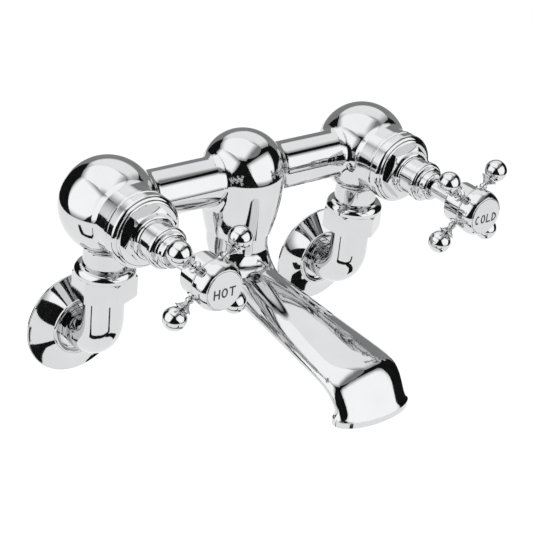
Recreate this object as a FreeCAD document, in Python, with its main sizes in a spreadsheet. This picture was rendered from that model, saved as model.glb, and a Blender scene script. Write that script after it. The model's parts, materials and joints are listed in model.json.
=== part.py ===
import FreeCAD, Part
import math
import os
import re
import Sketcher
from FreeCAD import Placement, Rotation, Vector

# Wall mounted bath faucet with two rising-spindle valves.
# Frame: X to the right along the wall, Y into the wall, Z up, millimetres.
# Origin: midway between the two inlets, on the wall's surface.

os.makedirs("parts", exist_ok=True)
doc = FreeCAD.newDocument("bath_faucet")

# ------------------------------------------------------------------ driving dimensions
# "axial" places on a valve are measured from the globe's centre towards the user,
# and "below" places on a union are measured from the globe's centre downwards.

DIMENSIONS = [
    # overall layout
    ("inlet_spacing", 180.0), ("wall_to_axis", 29.0), ("inlet_to_bar", 87.0),
    # body casting
    ("globe_radius", 27.1), ("bar_radius", 14.0), ("bulb_radius", 24.4), ("bulb_raise", 2.2),
    ("neck_drop", 34.0), ("neck_end_radius", 19.4),
    ("boss_radius", 20.2), ("boss_front", 28.5), ("tail_radius", 12.75), ("tail_end", 47.0),
    ("globe_fillet", 6.0), ("bulb_fillet", 7.0), ("boss_fillet", 5.0), ("tail_fillet", 3.0),
    ("globe_cavity", 22.5), ("partition_back", 5.5), ("seat_plane", 2.0), ("seat_bore", 6.5),
    ("seat_lip", 0.6), ("chamber_radius", 12.0), ("bonnet_bore_end", 14.0),
    ("bar_bore", 6.3), ("bar_bore_forward", 5.2), ("bulb_cavity", 19.5), ("neck_bore", 12.0),
    # collar ring and bonnet
    ("collar_radius", 20.9), ("collar_groove", 20.2), ("collar_front", 39.5),
    ("collar_front_radius", 17.4), ("shank_radius", 13.2), ("hexagon_corner", 16.4),
    ("hexagon_front", 43.8), ("barrel_radius", 11.0), ("barrel_front", 54.8),
    ("spindle_thread", 6.1), ("thread_front", 38.0), ("packing_bore", 8.0), ("packing_back", 49.0),
    ("washer_thick", 0.8), ("fit_gap", 0.05),
    # gland nut
    ("gland_radius", 11.8), ("gland_step", 9.8), ("gland_tip", 8.5), ("gland_front", 65.0),
    ("gland_nose_back", 52.4),
    # spindle and jumper
    ("spindle_radius", 5.0), ("spindle_foot", 3.4), ("spindle_front", 93.8), ("square_size", 6.9),
    ("jumper_stem", 2.0), ("jumper_plate", 8.8), ("jumper_rubber", 8.6), ("rubber_thick", 3.0),
    # handle
    ("hub_radius", 11.9), ("hub_back", 84.5), ("hub_front", 96.2), ("hub_bead", 12.6),
    ("hub_boss", 10.2), ("spot_face", 11.2), ("hub_boss_front", 100.2), ("arm_place", 92.2),
    ("ball_place", 25.7),
    ("ball_radius", 6.4), ("arm_disc", 5.0), ("arm_bead", 2.3), ("screw_seat", 94.0),
    ("cap_radius", 13.3), ("cap_back", 97.5), ("cap_front", 106.5), ("index_radius", 10.25),
    ("index_front", 106.9), ("letter_depth", 0.45), ("letter_height", 5.4), ("letter_stroke", 0.95),
    # union nut and elbow
    ("nut_corner", 18.3), ("nut_dome", 17.3), ("nut_top", 35.0), ("nut_shoulder", 41.3),
    ("nut_bottom", 54.3),
    ("nut_turn_hot", 39.0), ("nut_turn_cold", 28.0),
    ("elbow_radius", 11.7), ("elbow_bore", 8.5), ("elbow_bend", 17.5), ("elbow_flange_top", 48.5),
    ("stub_radius", 10.48), ("stub_length", 15.0), ("stub_start", 1.0),
    # wall flange
    ("flange_radius", 31.6), ("flange_rim", 1.2), ("flange_neck", 17.4), ("flange_height", 7.6),
    ("flange_bore", 12.0), ("seal_outer", 29.4), ("seal_inner", 25.0),
    # spout
    ("nipple_radius", 14.5), ("nipple_length", 5.95), ("spout_ledge", 6.8),
    ("grub_radius", 2.0), ("grub_drop", 3.4),
    ("socket_radius", 18.1), ("spout_wall", 2.2), ("root_place", 27.0), ("root_top", 52.0),
    ("root_depth", 19.0), ("root_half_width", 17.4), ("tip_place", 106.0), ("tip_top", 60.6),
    ("tip_depth", 13.4), ("tip_half_width", 24.4), ("mouth_place", 128.7), ("mouth_bottom", 88.5),
    ("mouth_half_width", 25.4), ("mouth_half_depth", 10.0), ("mouth_rim", 3.6),
    ("waist_half_width", 23.4),
]

sheet = doc.addObject("Spreadsheet::Sheet", "dims")
for row, (alias, number) in enumerate(DIMENSIONS, start=1):
    sheet.set("A%d" % row, alias)
    sheet.set("B%d" % row, str(number))
    sheet.setAlias("B%d" % row, alias)
doc.recompute()
WORDS = [alias for alias, number in DIMENSIONS]


def expression(text):
    """A formula in plain words becomes one that reads the sheet."""
    return re.sub(r"\b(%s)\b" % "|".join(WORDS), r"dims.\1", str(text))


def size(text):
    """The value that a formula has now."""
    return float(sheet.evalExpression(expression(text)))


# ------------------------------------------------------------------ places

SIDES = {"hot": -1, "cold": 1}
FORWARD = Rotation(Vector(1, 0, 0), 90)      # local Z points out from the wall
DOWNWARD = Rotation(Vector(1, 0, 0), 180)    # local Z points down
UPRIGHT = Rotation()


def put(thing, x="0", y="0", z="0", turn=UPRIGHT):
    """Places an object, its position bound to the sheet."""
    thing.Placement = Placement(Vector(size(x), size(y), size(z)), turn)
    for axis, text in (("x", x), ("y", y), ("z", z)):
        thing.setExpression("Placement.Base." + axis, expression(text))
    return thing


def side_x(side):
    return "%d * inlet_spacing / 2" % SIDES[side]


def at_valve(thing, side, turn=0.0):
    """Local Z lies on the valve's axis, from the globe's centre towards the user."""
    return put(thing, side_x(side), "-wall_to_axis", "inlet_to_bar",
               FORWARD.multiply(Rotation(Vector(0, 0, 1), turn)))


def at_union(thing, side, turn=0.0):
    """Local Z runs down the union, from the globe's centre."""
    return put(thing, side_x(side), "-wall_to_axis", "inlet_to_bar",
               DOWNWARD.multiply(Rotation(Vector(0, 0, 1), turn)))


def at_inlet(thing, side):
    """Local Z points out from the wall, at the inlet's centre."""
    return put(thing, side_x(side), "0", "0", FORWARD)


# ------------------------------------------------------------------ building blocks

def origin_plane(body, role):
    for feature in body.Origin.OriginFeatures:
        if feature.Role == role:
            return feature


def arc_between(start, end, radius):
    """The short arc between two points, and whether it runs the way of the outline.

    A positive radius bulges to the left of the way from start to end.
    """
    chord = end - start
    half = chord.Length / 2
    left = Vector(-chord.y, chord.x, 0).normalize()
    reach = math.sqrt(radius * radius - half * half)
    centre = (start + end) / 2 - left * math.copysign(reach, radius)
    first, last = (start, end) if radius < 0 else (end, start)
    first_angle = math.atan2(first.y - centre.y, first.x - centre.x)
    last_angle = math.atan2(last.y - centre.y, last.x - centre.x)
    if last_angle < first_angle:
        last_angle += 2 * math.pi
    circle = Part.Circle(centre, Vector(0, 0, 1), abs(radius))
    return Part.ArcOfCircle(circle, first_angle, last_angle), radius < 0


def turned(label, outline):
    """A body of revolution about local Z.

    Each outline entry is (radius, height) or, where an arc arrives at the point,
    (radius, height, arc radius), all as formulas of the sheet's words.
    """
    body = doc.addObject("PartDesign::Body", label)
    sketch = body.newObject("Sketcher::SketchObject", label + "_outline")
    sketch.AttachmentSupport = (origin_plane(body, "XZ_Plane"), "")
    sketch.MapMode = "FlatFace"
    points = [Vector(size(entry[0]), size(entry[1]), 0) for entry in outline]
    count = len(outline)
    arc_ends = {}
    for index in range(count):
        arriving = outline[(index + 1) % count]
        start, end = points[index], points[(index + 1) % count]
        if len(arriving) == 2:
            sketch.addGeometry(Part.LineSegment(start, end), False)
            arc_ends[index] = (1, 2)
            continue
        arc, onward = arc_between(start, end, size(arriving[2]))
        sketch.addGeometry(arc, False)
        arc_ends[index] = (1, 2) if onward else (2, 1)
    for index in range(count):
        following = (index + 1) % count
        sketch.addConstraint(Sketcher.Constraint(
            "Coincident", index, arc_ends[index][1], following, arc_ends[following][0]))
    for index, entry in enumerate(outline):
        corner = arc_ends[index][0]
        for kind, on_axis, text in (("DistanceX", -2, entry[0]), ("DistanceY", -1, entry[1])):
            if abs(size(text)) < 1e-9:
                sketch.addConstraint(Sketcher.Constraint("PointOnObject", index, corner, on_axis))
                continue
            number = sketch.addConstraint(
                Sketcher.Constraint(kind, -1, 1, index, corner, size(text)))
            sketch.setExpression("Constraints[%d]" % number, expression(text))
    for index in range(count):
        arriving = outline[(index + 1) % count]
        if len(arriving) == 3:
            radius = arriving[2].lstrip("-")
            number = sketch.addConstraint(Sketcher.Constraint("Radius", index, size(radius)))
            sketch.setExpression("Constraints[%d]" % number, expression(radius))
    revolution = body.newObject("PartDesign::Revolution", label + "_revolution")
    revolution.Profile = sketch
    revolution.ReferenceAxis = (sketch, ["V_Axis"])
    revolution.Angle = 360
    body.Tip = revolution
    return body


def ring(label, inner, outer, low, high):
    return turned(label, [(inner, low), (outer, low), (outer, high), (inner, high)])


def primitive(kind, label, **sizes):
    """A Part primitive whose sizes are bound to the sheet."""
    thing = doc.addObject("Part::" + kind, label)
    for name, text in sizes.items():
        setattr(thing, name, size(text))
        thing.setExpression(name, expression(text))
    return thing


def hexagon(label, corner, height):
    prism = primitive("Prism", label, Circumradius=corner, Height=height)
    prism.Polygon = 6
    return prism


def joined(label, *things):
    fusion = doc.addObject("Part::MultiFuse", label)
    fusion.Shapes = list(things)
    return fusion


def cut(label, base, tool):
    thing = doc.addObject("Part::Cut", label)
    thing.Base = base
    thing.Tool = tool
    return thing


def common(label, base, tool):
    thing = doc.addObject("Part::Common", label)
    thing.Base = base
    thing.Tool = tool
    return thing


def feature(label, shape):
    thing = doc.addObject("Part::Feature", label)
    thing.Shape = shape
    return thing


nodes = []


def node(thing, label):
    """Marks an object as a finished piece; its label names its file."""
    thing.Label = label
    nodes.append(thing)
    return thing


# ------------------------------------------------------------------ body casting

def casting_outside():
    """Two globes on a round bar, with a domed bulb in the middle that tapers down."""
    bar = primitive("Cylinder", "bar_outside", Radius="bar_radius", Height="inlet_spacing")
    put(bar, "-inlet_spacing / 2", "-wall_to_axis", "inlet_to_bar", Rotation(Vector(0, 1, 0), 90))
    taper_radius = ("(pow(bulb_radius - neck_end_radius; 2) + pow(neck_drop + bulb_raise; 2))"
                    " / 2 / (bulb_radius - neck_end_radius)")
    bulb = turned("bulb_outside", [
        ("0", "0"),
        ("neck_end_radius", "0"),
        ("bulb_radius", "neck_drop + bulb_raise", "-" + taper_radius),
        ("0", "neck_drop + bulb_raise + bulb_radius", "-bulb_radius"),
    ])
    put(bulb, "0", "-wall_to_axis", "inlet_to_bar - neck_drop")
    pieces = [bar, bulb]
    for side in SIDES:
        globe = primitive("Sphere", side + "_globe_outside", Radius="globe_radius")
        pieces.append(at_valve(globe, side))
        boss = primitive("Cylinder", side + "_boss_outside",
                         Radius="boss_radius", Height="boss_front")
        pieces.append(at_valve(boss, side))
        tail = turned(side + "_tail_outside", [
            ("0", "0"), ("tail_radius", "0"), ("tail_radius", "nut_top + 2"),
            ("tail_radius - 0.4", "nut_top + 2.4"), ("tail_radius - 0.4", "tail_end"),
            ("0", "tail_end"),
        ])
        pieces.append(at_union(tail, side))
    return joined("casting_blank", *pieces)


def near(value, target, slack=0.6):
    return abs(value - target) < slack


def casting_fillets(blank):
    """Rounds the casting where its forms meet."""
    doc.recompute()
    axis_y = -size("wall_to_axis")
    axis_z = size("inlet_to_bar")
    globe_x = size("inlet_spacing / 2")
    boss_meet = math.sqrt(size("globe_radius") ** 2 - size("boss_radius") ** 2)
    tail_meet = math.sqrt(size("globe_radius") ** 2 - size("tail_radius") ** 2)
    bar_meet = math.sqrt(size("globe_radius") ** 2 - size("bar_radius") ** 2)
    rounded = []
    for number, edge in enumerate(blank.Shape.Edges, start=1):
        middle = edge.BoundBox.Center
        span = edge.BoundBox
        offset = abs(middle.x)
        if near(offset, globe_x - bar_meet) and near(span.XLength, 0, 0.01):
            rounded.append((number, size("globe_fillet")))
        elif near(offset, globe_x) and near(span.YLength, 0, 0.01) \
                and near(middle.y, axis_y - boss_meet):
            rounded.append((number, size("boss_fillet")))
        elif near(offset, globe_x) and near(span.ZLength, 0, 0.01) \
                and near(middle.z, axis_z - tail_meet):
            rounded.append((number, size("tail_fillet")))
        elif size("bar_radius") < offset < size("bulb_radius") and span.XLength > 0.01 \
                and abs(edge.valueAt(edge.FirstParameter).y - axis_y) < size("bar_radius") + 0.1 \
                and near(math.hypot(edge.valueAt(edge.FirstParameter).y - axis_y,
                                    edge.valueAt(edge.FirstParameter).z - axis_z),
                         size("bar_radius"), 0.05):
            rounded.append((number, size("bulb_fillet")))
    fillet = doc.addObject("Part::Fillet", "casting_rounded")
    fillet.Base = blank
    fillet.Edges = [(number, radius, radius) for number, radius in rounded]
    return fillet


def casting_hollows():
    """The waterways: inlet, rear chamber, seat, front chamber, bar bore and bulb."""
    hollows = []
    for side in SIDES:
        inlet = primitive("Cylinder", side + "_inlet_hollow",
                          Radius="elbow_bore", Height="tail_end - 27")
        hollows.append(put(inlet, side_x(side), "-wall_to_axis", "inlet_to_bar - tail_end"))
        throat = primitive("Cylinder", side + "_throat_hollow", Radius="seat_bore", Height="26")
        hollows.append(put(throat, side_x(side), "-wall_to_axis", "inlet_to_bar - 29",
                           Rotation(Vector(1, 0, 0), -32)))
        rear = primitive("Sphere", side + "_rear_ball", Radius="globe_cavity")
        at_valve(rear, side)
        rear_half = primitive("Box", side + "_rear_half", Length="60", Width="60", Height="60")
        put(rear_half, side_x(side) + " - 30", "-wall_to_axis + partition_back",
            "inlet_to_bar - 30")
        hollows.append(common(side + "_rear_hollow", rear, rear_half))
        hollows.append(at_valve(primitive(
            "Cylinder", side + "_seat_hollow", Radius="seat_bore", Height="10"), side))
        doc.getObject(side + "_seat_hollow").setExpression(
            "Placement.Base.y", expression("-wall_to_axis + 8"))
        chamber = turned(side + "_chamber_hollow", [
            ("0", "seat_lip"),
            ("seat_bore + 1.2", "seat_lip"),
            ("seat_bore + 1.2", "0"),
            ("chamber_radius", "0"),
            ("chamber_radius", "seat_plane + bonnet_bore_end"),
            ("shank_radius + fit_gap", "seat_plane + bonnet_bore_end"),
            ("shank_radius + fit_gap", "seat_plane + boss_front + 1"),
            ("0", "seat_plane + boss_front + 1"),
        ])
        hollows.append(put(chamber, side_x(side), "-wall_to_axis + seat_plane",
                           "inlet_to_bar", FORWARD))
    bar = primitive("Cylinder", "bar_hollow", Radius="bar_bore", Height="inlet_spacing")
    hollows.append(put(bar, "-inlet_spacing / 2", "-wall_to_axis - bar_bore_forward",
                       "inlet_to_bar", Rotation(Vector(0, 1, 0), 90)))
    bulb = primitive("Sphere", "bulb_hollow", Radius="bulb_cavity")
    hollows.append(put(bulb, "0", "-wall_to_axis", "inlet_to_bar + bulb_raise"))
    neck = primitive("Cylinder", "neck_hollow", Radius="neck_bore", Height="neck_drop + 10")
    hollows.append(put(neck, "0", "-wall_to_axis", "inlet_to_bar - neck_drop - 10"))
    return hollows


def nipple():
    """The threaded nipple below the neck that the spout screws on to."""
    body = ring("neck_nipple", "neck_bore", "nipple_radius", "0", "nipple_length + 0.5")
    return put(body, "0", "-wall_to_axis", "inlet_to_bar - neck_drop - nipple_length")


def body_casting():
    solid = casting_fillets(casting_outside())
    for number, hollow in enumerate(casting_hollows()):
        solid = cut("casting_cut_%d" % number, solid, hollow)
    return node(joined("casting", solid, nipple()), "body_casting")


# ------------------------------------------------------------------ spout

SECTION_POINTS = 24
CROWN_POWER = 2.0
WIDEST_DROP = 0.2


def section_points(station, inset):
    """Control points of one rounded section, in the plane through its top and bottom."""
    low_y, low_z, top_y, top_z, half_width, belly = station
    crown = min(belly, CROWN_POWER)
    bottom = Vector(0, -low_y, low_z)
    top = Vector(0, -top_y, top_z)
    upward = (top - bottom).normalize()
    half_depth = (top - bottom).Length / 2 - inset
    # square sections carry their widest line below the middle, so that the top is well rounded
    sag = WIDEST_DROP * max(0.0, (belly - 2.3) / 0.2)
    centre = (top + bottom) / 2 - upward * half_depth * sag
    # a cubic curve runs a little inside its control points
    spread = 3 / (2 + math.cos(2 * math.pi / SECTION_POINTS))
    across = Vector((half_width - inset) * spread, 0, 0)
    points = []
    for step in range(SECTION_POINTS):
        angle = 2 * math.pi * step / SECTION_POINTS
        above = math.sin(angle) > 0
        power = crown if above else belly
        rise = upward * half_depth * spread * (1 + sag if above else 1 - sag)
        side = math.copysign(abs(math.cos(angle)) ** (2 / power), math.cos(angle))
        up = math.copysign(abs(math.sin(angle)) ** (2 / power), math.sin(angle))
        points.append(centre + across * side + rise * up)
    return points


def skin_solid(stations, inset):
    """A smooth solid whose surface is drawn along the sections, closed by flat ends."""
    poles = [section_points(station, inset) for station in stations]
    spans = len(poles) - 3
    surface = Part.BSplineSurface()
    surface.buildFromPolesMultsKnots(
        poles,
        [4] + [1] * (spans - 1) + [4], [1] * (SECTION_POINTS + 1),
        [float(knot) for knot in range(spans + 1)],
        [float(knot) for knot in range(SECTION_POINTS + 1)],
        False, True, 3, 3)
    side = surface.toShape()
    faces = [side]
    for place in (0.0, float(spans)):
        faces.append(Part.Face(Part.Wire(surface.uIso(place).toShape())))
    shell = Part.Shell(faces)
    shell.sewShape()
    solid = Part.Solid(shell)
    if solid.Volume < 0:
        solid.reverse()
    return solid


def spout_stations():
    """Bottom and top points (forward, up from the globe axis), half width and squareness."""
    socket = size("socket_radius")
    joint = -size("neck_drop")
    root, root_top = size("root_place"), -size("root_top")
    corner = root - socket                    # radius of the concave corner under the neck
    turn_up = root_top + corner
    stations = []
    for share in (0.0, 0.25, 0.6, 1.0):
        height = joint + (turn_up - joint) * share
        stations.append((-socket, height, socket, height, socket, 2.0))
    deep = size("root_depth")
    # the socket turns forward into the trough about the concave corner
    for angle in (20, 40, 60, 78):
        turn = math.radians(angle)
        inner = (root - corner * math.cos(turn), turn_up - corner * math.sin(turn))
        blend = angle / 90
        reach = 2 * socket + (deep - 2 * socket) * blend ** 0.6
        outer = (inner[0] - reach * math.cos(turn), inner[1] - reach * math.sin(turn))
        width = socket + (size("root_half_width") - socket) * blend
        stations.append((outer[0], outer[1], inner[0], inner[1], width, 2.0 + 0.5 * blend))
    tip, tip_top = size("tip_place"), -size("tip_top")
    for share in (0.0, 0.2, 0.4, 0.6, 0.8, 1.0):
        place = root + (tip - root) * share
        top = root_top + (tip_top - root_top) * share
        depth = deep + (size("tip_depth") - deep) * share
        width = size("root_half_width") + (size("tip_half_width") - size("root_half_width")) * share
        stations.append((place, top - depth, place, top, width, 2.5))
    # the trough turns down and flares into the mouth
    mouth, low = size("mouth_place"), -size("mouth_bottom")
    half = size("mouth_half_depth")
    waist, flare = size("waist_half_width"), size("mouth_half_width")
    high = low + size("mouth_rim")
    stations.append((mouth - half - 7.0, low + 13.2, mouth - 11.5, low + 27.2, flare - 0.7, 2.5))
    stations.append((mouth - half - 3.0, low + 11.6, mouth - 4.0, low + 24.0, flare - 0.9, 2.5))
    stations.append((mouth - half - 0.4, low + 8.8, mouth + 1.4, low + 17.5, waist + 0.6, 2.4))
    stations.append((mouth - half + 0.9, high + 2.6, mouth + half - 4.0, high + 6.2, waist, 2.3))
    stations.append((mouth - half + 0.7, high + 0.9, mouth + half - 1.6, high + 1.6, waist + 0.8, 2.3))
    for height in (high, high, high - 1.0, low + 1.2, low + 0.2, low):
        stations.append((mouth - half, height, mouth + half, height, flare, 2.3))
    stations.append((mouth - half + 0.4, low, mouth + half - 0.4, low, flare - 0.4, 2.3))
    return stations


def spout():
    """A socket under the neck, a low trough that broadens forward and a flared mouth."""
    stations = spout_stations()
    outside = skin_solid(stations, 0.0)
    wall = size("spout_wall")
    head_sections = 3
    inside = skin_solid(stations[head_sections:], wall)
    below = Vector(0, 0, -1)
    joint = Vector(0, 0, -size("neck_drop"))
    entry = Part.makeCylinder(size("nipple_radius + fit_gap"), size("spout_ledge"), joint, below)
    ledge_bore = Part.makeCylinder(size("neck_bore - 0.5"), size("spout_ledge + 4"), joint, below)
    grub_hole = Part.makeCylinder(size("grub_radius"), 12,
                                  joint + Vector(0, 12, -size("grub_drop")), Vector(0, 1, 0))
    shape = outside.cut(inside).cut(entry).cut(ledge_bore).cut(grub_hole)
    thing = feature("spout_shape", shape)
    return node(put(thing, "0", "-wall_to_axis", "inlet_to_bar"), "spout")


def spout_fixings():
    """Sealing ring on the spout's ledge, and the grub screw in the back of its socket."""
    seal = ring("spout_seal", "neck_bore + 0.2", "nipple_radius - 0.1", "0", "washer_thick")
    node(put(seal, "0", "-wall_to_axis", "inlet_to_bar - neck_drop - spout_ledge + 0.02"),
         "spout_washer")
    blank = primitive("Cylinder", "grub_blank", Radius="grub_radius - fit_gap", Height="3.2")
    socket = hexagon("grub_socket", "1.15", "1.6")
    put(socket, "0", "0", "1.6")
    screw = cut("grub", blank, socket)
    put(screw, "0", "-wall_to_axis + nipple_radius + 0.1", "inlet_to_bar - neck_drop - grub_drop",
        Rotation(Vector(1, 0, 0), -90))
    node(screw, "spout_grub_screw")


# ------------------------------------------------------------------ valves

def collar(side):
    """Stepped ring clamped between the globe's boss and the bonnet's hexagon."""
    body = turned(side + "_collar_body", [
        ("shank_radius + fit_gap", "boss_front + washer_thick"),
        ("boss_radius - 1.7", "boss_front + washer_thick"),
        ("boss_radius - 1.7", "boss_front"),
        ("collar_radius - 0.5", "boss_front"),
        ("collar_radius", "boss_front + 0.5", "-0.5"),
        ("collar_radius", "boss_front + 2.3"),
        ("collar_groove", "boss_front + 2.7"),
        ("collar_groove", "boss_front + 3.2"),
        ("collar_radius", "boss_front + 3.7"),
        ("collar_radius", "collar_front - 3.4"),
        ("collar_front_radius + 1.6", "collar_front - 1.4", "-3"),
        ("collar_front_radius + 1.6", "collar_front - 0.9"),
        ("collar_front_radius", "collar_front", "-1.9"),
        ("shank_radius + fit_gap", "collar_front"),
    ])
    node(at_valve(body, side), side + "_collar_ring")


def bonnet(side):
    """Headwork: shank in the globe, spanner hexagon, plain barrel and packing chamber."""
    core = turned(side + "_bonnet_core", [
        ("spindle_thread + fit_gap", "bonnet_bore_end + 2"),
        ("9", "bonnet_bore_end + 0.2"),
        ("shank_radius", "bonnet_bore_end + 0.2"),
        ("shank_radius", "hexagon_front - 0.4"),
        ("barrel_radius + 1.4", "hexagon_front"),
        ("barrel_radius + 1.4", "hexagon_front + 0.8"),
        ("barrel_radius", "hexagon_front + 2.2", "2"),
        ("barrel_radius", "barrel_front"),
        ("packing_bore", "barrel_front"),
        ("packing_bore", "packing_back"),
        ("spindle_radius + 0.3", "packing_back"),
        ("spindle_radius + 0.3", "thread_front"),
        ("spindle_thread + fit_gap", "thread_front"),
    ])
    at_valve(core, side)
    blank = turned(side + "_hexagon_blank", [
        ("shank_radius - 1", "collar_front"),
        ("hexagon_corner - 0.2", "collar_front"),
        ("hexagon_corner", "collar_front + 0.3"),
        ("hexagon_corner", "hexagon_front - 1.2"),
        ("hexagon_corner - 2.4", "hexagon_front"),
        ("shank_radius - 1", "hexagon_front"),
    ])
    at_valve(blank, side)
    prism = hexagon(side + "_bonnet_prism", "hexagon_corner", "hexagon_front + 2")
    at_valve(prism, side, 12.0)
    grip = common(side + "_bonnet_grip", blank, prism)
    node(joined(side + "_bonnet_body", core, grip), side + "_bonnet")
    washer = ring(side + "_bonnet_seal", "shank_radius + 0.15", "boss_radius - 1.9",
                  "boss_front", "boss_front + washer_thick")
    node(at_valve(washer, side), side + "_bonnet_washer")


def gland(side):
    """Gland nut with a broad ring and a smaller one, and the packing that it presses."""
    nut = turned(side + "_gland_body", [
        ("spindle_radius + 0.3", "gland_nose_back"),
        ("packing_bore - fit_gap", "gland_nose_back"),
        ("packing_bore - fit_gap", "barrel_front"),
        ("gland_radius - 0.4", "barrel_front"),
        ("gland_radius", "barrel_front + 0.4", "-0.5"),
        ("gland_radius", "barrel_front + 2.2"),
        ("gland_radius - 1.2", "barrel_front + 3.6", "-1.8"),
        ("gland_step", "barrel_front + 3.6"),
        ("gland_step", "barrel_front + 5"),
        ("gland_tip", "barrel_front + 6.4", "1.8"),
        ("gland_tip", "gland_front - 1.8"),
        ("gland_tip - 1.6", "gland_front", "-1.9"),
        ("spindle_radius + 0.3", "gland_front"),
    ])
    node(at_valve(nut, side), side + "_gland_nut")
    packing = ring(side + "_packing_ring", "spindle_radius + fit_gap", "packing_bore - 0.1",
                   "packing_back + 0.1", "gland_nose_back - 0.1")
    node(at_valve(packing, side), side + "_gland_packing")


def spindle(side):
    """Screwed stem with a socket for the jumper and a square end for the handle."""
    stem = turned(side + "_spindle_stem", [
        ("jumper_stem + fit_gap", "spindle_foot"),
        ("spindle_thread - 0.9", "spindle_foot"),
        ("spindle_thread - 0.5", "spindle_foot + 0.4"),
        ("spindle_thread - 0.5", "bonnet_bore_end + 1.6"),
        ("spindle_thread", "bonnet_bore_end + 2.2"),
        ("spindle_thread", "thread_front - 6"),
        ("spindle_radius", "thread_front - 4.9"),
        ("spindle_radius", "hub_back - 0.6"),
        ("spindle_radius - 0.6", "hub_back"),
        ("0", "hub_back"),
        ("0", "spindle_foot + 10"),
        ("jumper_stem + fit_gap", "spindle_foot + 9"),
    ])
    at_valve(stem, side)
    square = primitive("Box", side + "_spindle_square", Length="square_size",
                       Width="square_size", Height="spindle_front - hub_back + 1")
    put(square, side_x(side) + " - square_size / 2", "-wall_to_axis - hub_back + 1",
        "inlet_to_bar - square_size / 2", FORWARD)
    screw_hole = primitive("Cylinder", side + "_spindle_tapping", Radius="1.7", Height="9")
    put(screw_hole, side_x(side), "-wall_to_axis - spindle_front + 8.5", "inlet_to_bar", FORWARD)
    whole = joined(side + "_spindle_whole", stem, square)
    node(cut(side + "_spindle_body", whole, screw_hole), side + "_spindle")


def jumper(side):
    """Valve plate on a loose stem, with its rubber washer and the nut that holds it."""
    face = "-seat_plane + seat_lip + 0.1"
    plate = turned(side + "_jumper_turned", [
        ("0", "10 " + face + " - 3.1"),
        ("jumper_stem", "10 " + face + " - 3.1"),
        ("jumper_stem", "10 " + face + " + rubber_thick"),
        ("jumper_plate", "10 " + face + " + rubber_thick"),
        ("jumper_plate", "10 " + face + " + rubber_thick + 1.4"),
        ("jumper_stem", "10 " + face + " + rubber_thick + 1.4"),
        ("jumper_stem", "10 + spindle_foot + 8"),
        ("0", "10 + spindle_foot + 8.6"),
    ])
    put(plate, side_x(side), "-wall_to_axis + 10", "inlet_to_bar", FORWARD)
    node(plate, side + "_jumper")
    rubber = ring(side + "_rubber_ring", "jumper_stem + fit_gap", "jumper_rubber",
                  "10 " + face, "10 " + face + " + rubber_thick")
    put(rubber, side_x(side), "-wall_to_axis + 10", "inlet_to_bar", FORWARD)
    node(rubber, side + "_jumper_washer")
    prism = hexagon(side + "_jumper_hexagon", "3.4", "2.2")
    bore = primitive("Cylinder", side + "_jumper_nut_bore",
                     Radius="jumper_stem + fit_gap", Height="3")
    nut = cut(side + "_jumper_nut_body", prism, bore)
    put(nut, side_x(side), "-wall_to_axis - (" + face + ") + 2.25", "inlet_to_bar", FORWARD)
    node(nut, side + "_jumper_nut")


# ------------------------------------------------------------------ handles

ARMS = {"upper_right": 45.0, "upper_left": 135.0, "lower_left": 225.0, "lower_right": 315.0}


def hub(side):
    """Barrel of the handle, with four tapped holes for the arms and a boss for the cap."""
    barrel = turned(side + "_hub_barrel", [
        ("0", "hub_back"),
        ("hub_radius - 1.2", "hub_back"),
        ("hub_radius", "hub_back + 1.2", "-1.4"),
        ("hub_radius", "hub_front - 0.6"),
        ("hub_bead", "hub_front", "0.95"),
        ("hub_bead", "hub_front + 1.0", "-0.6"),
        ("hub_boss", "hub_front + 1.2"),
        ("hub_boss", "hub_boss_front"),
        ("6", "hub_boss_front"),
        ("6", "screw_seat"),
        ("0", "screw_seat"),
    ])
    at_valve(barrel, side)
    square = primitive("Box", side + "_hub_square", Length="square_size + 0.1",
                       Width="square_size + 0.1", Height="screw_seat - hub_back + 2")
    put(square, side_x(side) + " - square_size / 2 - 0.05", "-wall_to_axis - hub_back + 1",
        "inlet_to_bar - square_size / 2 - 0.05", FORWARD)
    tools = [square]
    for name, angle in ARMS.items():
        hole = turned(side + "_hub_hole_" + name, [
            ("0", "6.9"), ("2.25", "6.9"), ("2.25", "spot_face"), ("3.55", "spot_face"),
            ("3.55", "hub_radius + 1"), ("0", "hub_radius + 1"),
        ])
        place_on_handle(hole, side, angle, "0")
        tools.append(hole)
    holes = joined(side + "_hub_holes", *tools)
    node(cut(side + "_hub_body", barrel, holes), side + "_handle_hub")


def place_on_handle(thing, side, angle, start):
    """Local Z points away from the valve's axis, at the arms' place on the hub."""
    across = Rotation(Vector(0, 0, 1), Vector(math.cos(math.radians(angle)), 0,
                                              math.sin(math.radians(angle))))
    x = side_x(side) + " + (" + start + ") * %r" % round(math.cos(math.radians(angle)), 9)
    z = "inlet_to_bar + (" + start + ") * %r" % round(math.sin(math.radians(angle)), 9)
    return put(thing, x, "-wall_to_axis - arm_place", z, across)


def arm(side, name, angle):
    """Turned arm: tenon, foot, bead, flare with a sharp disc, and the ball."""
    body = turned(side + "_arm_turned_" + name, [
        ("0", "7"),
        ("2.2", "7"),
        ("2.2", "spot_face"),
        ("3.5", "spot_face"),
        ("3.5", "hub_radius + 0.35"),
        ("1.5", "hub_radius + 1.0", "1.9"),
        ("arm_bead", "hub_radius + 2.2", "-1.45"),
        ("1.5", "hub_radius + 3.6", "-1.6"),
        ("1.9", "hub_radius + 4.6", "2"),
        ("arm_disc - 1.9", "hub_radius + 6.1", "5"),
        ("arm_disc", "hub_radius + 7.5", "5"),
        ("arm_disc", "hub_radius + 7.9"),
        ("3.2", "hub_radius + 8.4"),
        ("ball_radius", "ball_place", "-ball_radius"),
        ("0", "ball_place + ball_radius", "-ball_radius"),
    ])
    place_on_handle(body, side, angle, "0")
    node(body, side + "_arm_" + name)


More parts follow.
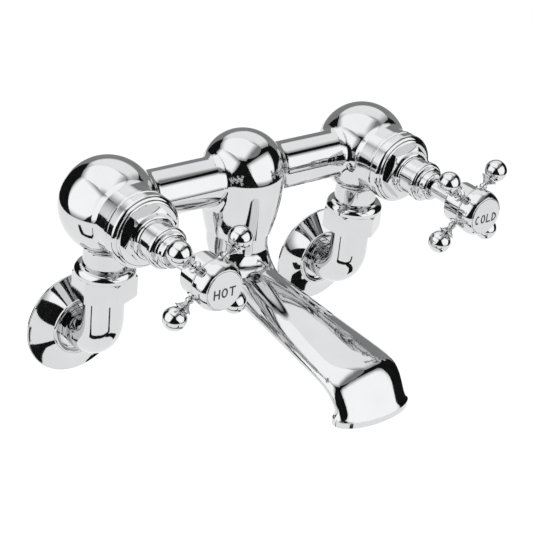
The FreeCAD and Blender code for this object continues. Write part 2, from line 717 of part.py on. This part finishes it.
def index(side, word):
    """Domed cap, the flat disc set in it, and the filled letters on the disc."""
    cap = turned(side + "_cap_turned", [
        ("0", "cap_front - 3.6"),
        ("hub_boss + 0.05", "cap_front - 3.6"),
        ("hub_boss + 0.05", "cap_back"),
        ("cap_radius - 0.5", "cap_back"),
        ("cap_radius", "cap_back + 0.5", "-0.5"),
        ("cap_radius", "cap_back + 2.6"),
        ("index_radius + 0.75", "cap_front - 0.1", "-8.5"),
        ("index_radius + 0.05", "cap_front", "-1"),
        ("index_radius + 0.05", "cap_front - 1.3"),
        ("0", "cap_front - 1.3"),
    ])
    node(at_valve(cap, side), side + "_index_cap")
    disc = turned(side + "_disc_turned", [
        ("0", "cap_front - 1.3"),
        ("index_radius", "cap_front - 1.3"),
        ("index_radius", "index_front - 0.2"),
        ("index_radius - 0.25", "index_front", "-0.3"),
        ("0", "index_front"),
    ])
    at_valve(disc, side)
    letters = feature(side + "_letter_shapes", word_solids(word))
    put(letters, side_x(side), "-wall_to_axis - index_front", "inlet_to_bar")
    node(letters, side + "_index_letters")
    pocket = feature(side + "_letter_pockets", word_solids(word))
    put(pocket, side_x(side), "-wall_to_axis - index_front", "inlet_to_bar")
    node(cut(side + "_disc_body", disc, pocket), side + "_index_disc")
    screw = turned(side + "_screw_turned", [
        ("0", "spindle_front - 7"),
        ("1.65", "spindle_front - 7"),
        ("1.65", "screw_seat"),
        ("4.4", "screw_seat"),
        ("4.4", "screw_seat + 1.6"),
        ("3.6", "screw_seat + 2.4", "-0.9"),
        ("0", "screw_seat + 2.4"),
    ])
    at_valve(screw, side)
    slot = primitive("Box", side + "_screw_slot", Length="10", Width="1", Height="1.2")
    put(slot, side_x(side) + " - 5", "-wall_to_axis - screw_seat - 1.4",
        "inlet_to_bar - 0.5", FORWARD)
    node(cut(side + "_screw_body", screw, slot), side + "_handle_screw")


# ------------------------------------------------------------------ lettering

def stroke(start, end):
    """A flat bar between two points of the letter grid."""
    width = size("letter_stroke")
    along = (end - start).normalize()
    aside = Vector(-along.z, 0, along.x) * (width / 2)
    corners = [start + aside, end + aside, end - aside, start - aside]
    face = Part.Face(Part.makePolygon(corners + [corners[0]]))
    return face.extrude(Vector(0, size("letter_depth"), 0))


def bow(centre, across, up, first, last):
    """Part of an upright oval band, from one angle to another, in degrees."""
    width = size("letter_stroke")
    steps = 16
    rim = []
    for grow in (width / 2, -width / 2):
        line = []
        for step in range(steps + 1):
            angle = math.radians(first + (last - first) * step / steps)
            line.append(centre + Vector((across + grow) * math.cos(angle), 0,
                                        (up + grow) * math.sin(angle)))
        rim.append(line)
    corners = rim[0] + rim[1][::-1]
    face = Part.Face(Part.makePolygon(corners + [corners[0]]))
    return face.extrude(Vector(0, size("letter_depth"), 0))


def letter_shape(letter, left, width):
    """One plain block capital, standing on the line below the disc's centre."""
    half = size("letter_stroke") / 2
    low = -size("letter_height") / 2 + LETTER_DROP + half
    high = size("letter_height") / 2 + LETTER_DROP - half
    near_side, far_side = left + half, left + width - half
    middle = (near_side + far_side) / 2
    level = (low + high) / 2

    def at(x, z):
        return Vector(x, 0, z)

    tall = high - low
    if letter == "H":
        bars = [stroke(at(near_side, low - half), at(near_side, high + half)),
                stroke(at(far_side, low - half), at(far_side, high + half)),
                stroke(at(near_side, level), at(far_side, level))]
    elif letter == "O":
        bars = [bow(at(middle, level), width / 2 - half, tall / 2, -90, 90),
                bow(at(middle, level), width / 2 - half, tall / 2, 90, 270)]
    elif letter == "T":
        bars = [stroke(at(near_side - half, high), at(far_side + half, high)),
                stroke(at(middle, low - half), at(middle, high))]
    elif letter == "C":
        bars = [bow(at(middle, level), width / 2 - half, tall / 2, 50, 310)]
    elif letter == "L":
        bars = [stroke(at(near_side, low - half), at(near_side, high + half)),
                stroke(at(near_side, low), at(far_side + half, low))]
    else:
        bars = [stroke(at(near_side, low - half), at(near_side, high + half)),
                bow(at(near_side, level), width - 2 * half, tall / 2, -90, 90)]
    shape = bars[0]
    for bar in bars[1:]:
        shape = shape.fuse(bar)
    return shape.removeSplitter()


LETTER_DROP = -1.2
LETTER_GAP = 0.8


def word_solids(word):
    """The word's letters as separate thin solids, centred on the disc."""
    width = (0.64 if len(word) > 3 else 0.72) * size("letter_height")
    span = len(word) * width + (len(word) - 1) * LETTER_GAP
    left = -span / 2
    shapes = []
    for letter in word:
        shapes.append(letter_shape(letter, left, width))
        left += width + LETTER_GAP
    return Part.makeCompound(shapes)


# ------------------------------------------------------------------ unions and inlets

def union_nut(side):
    """Hexagonal nut under a round domed shoulder; it draws the elbow up to the tail."""
    dome = turned(side + "_nut_dome", [
        ("tail_radius + 0.1", "nut_top"),
        ("tail_radius + 0.8", "nut_top"),
        ("nut_dome", "nut_top + 4", "-4.6"),
        ("nut_dome", "nut_shoulder - 0.5"),
        ("nut_dome - 0.5", "nut_shoulder", "-0.5"),
        ("tail_radius + 0.1", "nut_shoulder"),
    ])
    at_union(dome, side)
    blank = turned(side + "_nut_blank", [
        ("tail_radius + 0.1", "nut_shoulder - 0.8"),
        ("nut_dome - 1", "nut_shoulder - 0.8"),
        ("nut_corner", "nut_shoulder + 0.9"),
        ("nut_corner", "nut_bottom - 0.5"),
        ("nut_corner - 1", "nut_bottom"),
        ("elbow_radius + 0.15", "nut_bottom"),
        ("elbow_radius + 0.15", "elbow_flange_top + 2"),
        ("tail_radius + 0.1", "elbow_flange_top + 1.9"),
    ])
    at_union(blank, side)
    prism = hexagon(side + "_nut_prism", "nut_corner", "nut_bottom + 5")
    at_union(prism, side, size("nut_turn_" + side))
    grip = common(side + "_nut_grip", blank, prism)
    node(joined(side + "_nut_body", dome, grip), side + "_union_nut")
    washer = ring(side + "_union_seal", "elbow_bore + 0.4", "tail_radius - 0.4",
                  "tail_end + 0.05", "elbow_flange_top - 0.05")
    node(at_union(washer, side), side + "_union_washer")


def elbow(side):
    """Bent tube: flange held by the nut, quarter bend, and a threaded stub into the wall."""
    radius, bore = size("elbow_radius"), size("elbow_bore")
    bend = size("elbow_bend")
    top = size("inlet_to_bar - elbow_flange_top")
    front = -size("wall_to_axis")
    stub = size("stub_start")
    start, turn_start = Vector(0, front, top), Vector(0, front, bend)
    turn_middle = Vector(0, front + bend * (1 - math.cos(math.pi / 4)),
                         bend * (1 - math.sin(math.pi / 4)))
    turn_end, end = Vector(0, front + bend, 0), Vector(0, stub, 0)

    def tube(tube_radius):
        path = Part.Wire([Part.makeLine(start, turn_start),
                          Part.Arc(turn_start, turn_middle, turn_end).toShape(),
                          Part.makeLine(turn_end, end)])
        profile = Part.Wire(Part.makeCircle(tube_radius, start, Vector(0, 0, -1)))
        return path.makePipeShell([profile], True, False)

    outside = tube(radius)
    lip = Part.makeCylinder(size("tail_radius - 0.1"), 1.6, Vector(0, front, top - 1.6))
    thread = Part.makeCylinder(size("stub_radius"), size("stub_length"),
                               Vector(0, stub, 0), Vector(0, 1, 0))
    thread_bore = Part.makeCylinder(bore, size("stub_length") + 2,
                                    Vector(0, stub - 1, 0), Vector(0, 1, 0))
    shape = outside.fuse(lip).fuse(thread).cut(tube(bore)).cut(thread_bore)
    thing = feature(side + "_elbow_shape", shape.removeSplitter())
    node(put(thing, side_x(side)), side + "_elbow")


def wall_flange(side):
    """Shallow bell-shaped cover over the hole in the wall, with a foam seal behind its rim."""
    cover = turned(side + "_flange_turned", [
        ("flange_bore", "3.4"),
        ("flange_neck - 1.2", "4.6"),
        ("seal_outer + 0.3", "1.1"),
        ("seal_outer + 0.3", "0"),
        ("flange_radius", "0"),
        ("flange_radius", "flange_rim - 0.4"),
        ("flange_radius - 0.5", "flange_rim", "-0.5"),
        ("flange_neck + 0.6", "flange_height - 1.2", "48"),
        ("flange_neck - 0.6", "flange_height", "-1"),
        ("flange_neck - 1.7", "flange_height - 0.9", "-1"),
        ("flange_bore + 0.9", "flange_height - 2.2", "2.6"),
        ("flange_bore", "flange_height - 2.2"),
    ])
    node(at_inlet(cover, side), side + "_wall_flange")
    seal = ring(side + "_foam_ring", "seal_inner", "seal_outer", "0", "1")
    node(at_inlet(seal, side), side + "_flange_seal")


# ------------------------------------------------------------------ assembly

body_casting()
spout()
spout_fixings()
for side, word in (("hot", "HOT"), ("cold", "COLD")):
    collar(side)
    bonnet(side)
    gland(side)
    spindle(side)
    jumper(side)
    hub(side)
    for arm_name, arm_angle in ARMS.items():
        arm(side, arm_name, arm_angle)
    index(side, word)
    union_nut(side)
    elbow(side)
    wall_flange(side)

doc.recompute()

# ------------------------------------------------------------------ checks and output

for thing in doc.Objects:
    if "Invalid" in thing.State or "Error" in thing.State:
        raise RuntimeError("failed object: " + thing.Name)

for piece in nodes:
    shape = piece.Shape
    if shape.isNull() or not shape.isValid() or not shape.Solids:
        raise RuntimeError("bad shape: " + piece.Label)
    shape.exportStep("parts/" + piece.Label + ".step")
    print(piece.Label, len(shape.Solids), round(shape.Volume))
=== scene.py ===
import json
import math

import bpy
from mathutils import Matrix, Vector

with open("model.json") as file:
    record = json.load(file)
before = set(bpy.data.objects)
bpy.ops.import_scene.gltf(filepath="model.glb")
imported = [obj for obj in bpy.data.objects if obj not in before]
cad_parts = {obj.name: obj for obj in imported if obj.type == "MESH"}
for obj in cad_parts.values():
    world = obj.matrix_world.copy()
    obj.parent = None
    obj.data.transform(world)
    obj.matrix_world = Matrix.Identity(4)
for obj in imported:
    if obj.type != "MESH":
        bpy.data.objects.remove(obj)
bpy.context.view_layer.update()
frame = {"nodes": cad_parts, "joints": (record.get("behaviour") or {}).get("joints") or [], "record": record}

# ------------------------------------------------------------------ places from the frame

JOINTS = {joint["name"]: joint for joint in frame["joints"]}
HOT_AXIS = Vector(JOINTS["hot_turn"]["pos_m"])
COLD_AXIS = Vector(JOINTS["cold_turn"]["pos_m"])
FOCUS = (HOT_AXIS + COLD_AXIS) / 2
FLOOR_DROP = 0.40                 # from the wall inlets down to the floor


def toward(azimuth, elevation):
    """Unit vector at an azimuth (0 = straight out from the wall, 90 = +X) and an elevation."""
    a, e = math.radians(azimuth), math.radians(elevation)
    return Vector((math.sin(a) * math.cos(e), -math.cos(a) * math.cos(e), math.sin(e)))


# ------------------------------------------------------------------ camera

CAMERA_AZIMUTH = -40.17
CAMERA_ELEVATION = 27.87
CAMERA_ROLL = math.radians(5.96)
CAMERA_DISTANCE = 0.8409
CAMERA_ASIDE = 0.01364            # the view's centre lies right of and below the valve axis
CAMERA_LOWER = 0.05308
LENS = 99.5


def make_camera():
    back = toward(CAMERA_AZIMUTH, CAMERA_ELEVATION)
    level = (-back).cross(Vector((0, 0, 1))).normalized()
    upright = level.cross(-back)
    right = math.cos(CAMERA_ROLL) * level + math.sin(CAMERA_ROLL) * upright
    up = math.cos(CAMERA_ROLL) * upright - math.sin(CAMERA_ROLL) * level
    data = bpy.data.cameras.new("camera")
    data.lens = LENS
    data.sensor_width = 36
    data.clip_end = 50
    camera = bpy.data.objects.new("camera", data)
    place = FOCUS + back * CAMERA_DISTANCE + right * CAMERA_ASIDE - up * CAMERA_LOWER
    camera.matrix_world = Matrix((
        (right.x, up.x, back.x, place.x),
        (right.y, up.y, back.y, place.y),
        (right.z, up.z, back.z, place.z),
        (0, 0, 0, 1)))
    bpy.context.collection.objects.link(camera)
    bpy.context.scene.camera = camera


# ------------------------------------------------------------------ materials

class Nodes:
    """A small helper that adds and links the nodes of one material."""

    def __init__(self, name):
        self.material = bpy.data.materials.new(name)
        self.material.use_nodes = True
        self.tree = self.material.node_tree
        self.shader = self.tree.nodes["Principled BSDF"]
        self.place = self.add("ShaderNodeTexCoord").outputs["Object"]

    def add(self, kind, **settings):
        made = self.tree.nodes.new(kind)
        for key, value in settings.items():
            setattr(made, key, value)
        return made

    def link(self, source, target):
        self.tree.links.new(source, target)

    def set(self, **values):
        for name, value in values.items():
            self.shader.inputs[name.replace("_", " ")].default_value = value

    def noise(self, scale, detail=3.0, rough=0.5):
        made = self.add("ShaderNodeTexNoise")
        made.inputs["Scale"].default_value = scale
        made.inputs["Detail"].default_value = detail
        made.inputs["Roughness"].default_value = rough
        self.link(self.place, made.inputs["Vector"])
        return made.outputs["Fac"]

    def spread(self, source, low, high, start=0.3, end=0.7):
        made = self.add("ShaderNodeMapRange")
        for key, value in (("From Min", start), ("From Max", end),
                           ("To Min", low), ("To Max", high)):
            made.inputs[key].default_value = value
        self.link(source, made.inputs["Value"])
        return made.outputs["Result"]

    def colours(self, source, low, high, start=0.3, end=0.7):
        made = self.add("ShaderNodeValToRGB")
        made.color_ramp.elements[0].position = start
        made.color_ramp.elements[0].color = (*low, 1)
        made.color_ramp.elements[1].position = end
        made.color_ramp.elements[1].color = (*high, 1)
        self.link(source, made.inputs["Fac"])
        self.link(made.outputs["Color"], self.shader.inputs["Base Color"])

    def bump(self, source, strength, depth):
        made = self.add("ShaderNodeBump")
        made.inputs["Strength"].default_value = strength
        made.inputs["Distance"].default_value = depth
        self.link(source, made.inputs["Height"])
        self.link(made.outputs["Normal"], self.shader.inputs["Normal"])


def chrome(name, waviness, roughness):
    """Polished plating: bright, with slow ripples left by hand polishing and faint haze."""
    made = Nodes(name)
    made.set(Metallic=1.0)
    made.colours(made.noise(60, 4), (0.625, 0.63, 0.637), (0.655, 0.658, 0.663))
    made.link(made.spread(made.noise(220, 5, 0.65), roughness * 0.6, roughness * 1.4),
              made.shader.inputs["Roughness"])
    made.bump(made.noise(45, 1.5), 1.0, waviness)
    return made.material


def turned_metal(name, low, high, roughness):
    """Bare machined metal, with the fine scatter of tool marks."""
    made = Nodes(name)
    made.set(Metallic=1.0)
    made.colours(made.noise(300, 5), low, high)
    made.link(made.spread(made.noise(900, 4), roughness * 0.7, roughness * 1.3),
              made.shader.inputs["Roughness"])
    made.bump(made.noise(1800, 3), 0.4, 0.00004)
    return made.material


def soft_seal(name, low, high, roughness):
    """Rubber or fibre: dull, mottled and slightly grainy."""
    made = Nodes(name)
    made.colours(made.noise(700, 6), low, high)
    made.link(made.spread(made.noise(500, 4), roughness - 0.08, roughness + 0.08),
              made.shader.inputs["Roughness"])
    made.bump(made.noise(2500, 4), 0.5, 0.00008)
    return made.material


def enamel():
    """Black filling in the letters, with a slight sheen and an uneven surface."""
    made = Nodes("black_enamel")
    made.colours(made.noise(900, 4), (0.006, 0.006, 0.007), (0.022, 0.021, 0.02))
    made.link(made.spread(made.noise(1500, 3), 0.28, 0.42), made.shader.inputs["Roughness"])
    made.bump(made.noise(3000, 3), 0.3, 0.00003)
    return made.material


def painted(name, low, high, glow):
    """Matte studio surface; a glow above 0 lets it give off light, so that it stays even."""
    made = Nodes(name)
    made.set(Roughness=0.9, Emission_Strength=glow)
    made.shader.inputs["Specular IOR Level"].default_value = 0.0
    made.shader.inputs["Emission Color"].default_value = (1, 1, 1, 1)
    made.colours(made.noise(3, 2), low, high)
    return made.material


CAST_CHROME = chrome("cast_chrome", 0.00006, 0.055)
TURNED_CHROME = chrome("turned_chrome", 0.00002, 0.05)
FINISHES = {
    "brass": turned_metal("bare_brass", (0.62, 0.44, 0.2), (0.74, 0.56, 0.27), 0.28),
    "steel": turned_metal("bare_steel", (0.42, 0.42, 0.43), (0.56, 0.56, 0.57), 0.3),
    "rubber": soft_seal("black_rubber", (0.018, 0.018, 0.019), (0.04, 0.04, 0.042), 0.7),
    "fibre": soft_seal("red_fibre", (0.25, 0.06, 0.035), (0.36, 0.1, 0.055), 0.75),
    "black_enamel": enamel(),
}
CAST_NODES = ("body_casting", "spout", "hot_elbow", "cold_elbow")


def dress_nodes():
    slots = {part["node"]: part["material_slot"] for part in frame["record"]["subparts"]}
    for name, thing in frame["nodes"].items():
        finish = FINISHES.get(slots[name], CAST_CHROME if name in CAST_NODES else TURNED_CHROME)
        thing.data.materials.clear()
        thing.data.materials.append(finish)


# ------------------------------------------------------------------ studio

FLOOR_SIZE = 12.0                 # width of the square floor
SURROUND_RADIUS = 5.52            # the white wall stands just inside the floor's edges
SURROUND_TOP = 12.0
CURTAIN_RADIUS = 1.35
CURTAIN_TOP = 1.9
BACKDROP_RADIUS = 0.62
BACKDROP_TOP = 0.42
SCREEN_STEPS = 48                 # flat strips that make up a curved screen
LINE_LIFT = 0.002                 # floor lines lie this far above the floor
FLOOR_GLOW = 0.92
WALL_GLOW = 1.0
BACKDROP_GLOW = 0.1
WORLD_STRENGTH = 0.3
FADE_WIDTH = 0.2                  # share of a softbox over which it fades at each side
PALE = ((0.2, 0.2, 0.2), (0.21, 0.21, 0.21))
BLACK = ((0.006, 0.006, 0.006), (0.012, 0.012, 0.012))
GREY = ((0.16, 0.16, 0.16), (0.2, 0.2, 0.2))


def make_floor():
    half = FLOOR_SIZE / 2
    mesh = bpy.data.meshes.new("floor")
    corners = [(-half, -half, 0), (half, -half, 0), (half, half, 0), (-half, half, 0)]
    mesh.from_pydata(corners, [], [(0, 1, 2, 3)])
    mesh.materials.append(painted("pale_floor", *PALE, FLOOR_GLOW))
    floor = bpy.data.objects.new("floor", mesh)
    floor.location.z = -FLOOR_DROP
    bpy.context.collection.objects.link(floor)


def stage_piece(name, corners, faces, material):
    """Piece of the studio; only the polished metal sees it, unless its maker says otherwise."""
    mesh = bpy.data.meshes.new(name)
    mesh.from_pydata(corners, [], faces)
    mesh.materials.append(material)
    piece = bpy.data.objects.new(name, mesh)
    piece.visible_camera = False
    piece.visible_shadow = False
    piece.visible_diffuse = False
    bpy.context.collection.objects.link(piece)
    return piece


def make_surround():
    """White studio wall far behind everything, for the camera only."""
    rows = []
    steps = 2 * SCREEN_STEPS
    for step in range(steps + 1):
        side = toward(360 * step / steps, 0) * SURROUND_RADIUS
        rows += [(side.x, side.y, -FLOOR_DROP), (side.x, side.y, SURROUND_TOP)]
    faces = [(2 * n, 2 * n + 2, 2 * n + 3, 2 * n + 1) for n in range(steps)]
    wall = stage_piece("surround", rows, faces, painted("white_wall", *PALE, WALL_GLOW))
    wall.visible_camera = True
    wall.visible_glossy = False


def make_screen(name, first, last, low, high, radius, tones, glow):
    """Upright curved screen round the faucet; only the polished metal sees it."""
    steps = SCREEN_STEPS
    rows = []
    for step in range(steps + 1):
        side = toward(first + (last - first) * step / steps, 0) * radius
        rows += [(side.x, side.y, low), (side.x, side.y, high)]
    faces = [(2 * n, 2 * n + 2, 2 * n + 3, 2 * n + 1) for n in range(steps)]
    stage_piece(name, rows, faces, painted(name, *tones, glow))


def make_floor_line(name, way, width):
    """Dark line laid on the floor, through places given as (azimuth, distance)."""
    spots = [toward(azimuth, 0) * distance for azimuth, distance in way]
    rows = []
    for number, spot in enumerate(spots):
        before, after = spots[max(number - 1, 0)], spots[min(number + 1, len(spots) - 1)]
        aside = (after - before).cross(Vector((0, 0, 1))).normalized() * width / 2
        for edge in (spot - aside, spot + aside):
            rows.append((edge.x, edge.y, LINE_LIFT - FLOOR_DROP))
    faces = [(2 * n, 2 * n + 2, 2 * n + 3, 2 * n + 1) for n in range(len(spots) - 1)]
    stage_piece(name, rows, faces, painted(name, *BLACK, 0))


def soft_light_material(name, centre, edge):
    """Glowing cloth, brightest in the middle and fading towards its frame."""
    made = Nodes(name)
    made.set(Roughness=1.0)
    made.colours(made.noise(4, 2), (0.02, 0.02, 0.02), (0.03, 0.03, 0.03))
    made.shader.inputs["Emission Color"].default_value = (1, 1, 1, 1)
    split = made.add("ShaderNodeSeparateXYZ")
    made.link(made.add("ShaderNodeTexCoord").outputs["Generated"], split.inputs[0])
    fades = []
    for axis in ("X", "Y"):
        across = made.add("ShaderNodeMath", operation="PINGPONG")
        across.inputs[1].default_value = 0.5
        made.link(split.outputs[axis], across.inputs[0])
        fade = made.add("ShaderNodeMapRange", interpolation_type="SMOOTHSTEP")
        fade.inputs["From Max"].default_value = FADE_WIDTH
        made.link(across.outputs[0], fade.inputs["Value"])
        fades.append(fade.outputs["Result"])
    both = made.add("ShaderNodeMath", operation="MULTIPLY")
    made.link(fades[0], both.inputs[0])
    made.link(fades[1], both.inputs[1])
    made.link(made.spread(both.outputs[0], edge, centre, 0, 1),
              made.shader.inputs["Emission Strength"])
    return made.material


def make_softbox(name, azimuth, elevation, distance, width, height, centre, edge):
    """Large glowing panel that lights the faucet from one side; the camera does not see it."""
    x, y = width / 2, height / 2
    corners = [(-x, -y, 0), (x, -y, 0), (x, y, 0), (-x, y, 0)]
    panel = stage_piece(name, corners, [(0, 1, 2, 3)], soft_light_material(name, centre, edge))
    panel.visible_diffuse = True
    away = toward(azimuth, elevation)
    panel.location = FOCUS + away * distance
    panel.rotation_mode = "QUATERNION"
    panel.rotation_quaternion = away.to_track_quat("Z", "Y")


def make_world():
    world = bpy.data.worlds.new("studio")
    world.use_nodes = True
    backdrop = world.node_tree.nodes["Background"]
    backdrop.inputs["Color"].default_value = (0.9, 0.9, 0.9, 1)
    backdrop.inputs["Strength"].default_value = WORLD_STRENGTH
    bpy.context.scene.world = world


bpy.context.scene.view_settings.view_transform = "Standard"
make_camera()
dress_nodes()
make_floor()
make_surround()
make_screen("dark_curtain", -185, 112, -FLOOR_DROP, CURTAIN_TOP, CURTAIN_RADIUS, BLACK, 0)
make_screen("grey_backdrop", 95, 180, 0, BACKDROP_TOP, BACKDROP_RADIUS, GREY, BACKDROP_GLOW)
make_floor_line("floor_line", [(-97, 0.88), (-97, 0.5), (-60, 0.4), (-25, 0.4), (-5, 0.5),
                               (-5, 0.81)], 0.1)
# Painted shadow: a black strip on the floor, where the faucet's own shadow falls, seen only in reflections
# in the polished metal.
make_floor_line("painted_floor_shadow", [(-22, 0.4), (10, 0.36), (35, 0.31), (62, 0.27)], 0.12)
make_softbox("softbox_left", -101, 18, 1.1, 1.95, 1.7, 1.35, 0.3)
make_softbox("softbox_right", 22, 16, 1.1, 2.1, 1.5, 1.35, 0.35)
make_softbox("softbox_over", -148, 73, 1.2, 2.3, 2.0, 1.3, 0.4)
make_softbox("softbox_back", 140, 50, 1.25, 2.0, 1.2, 1.1, 0.4)
make_world()
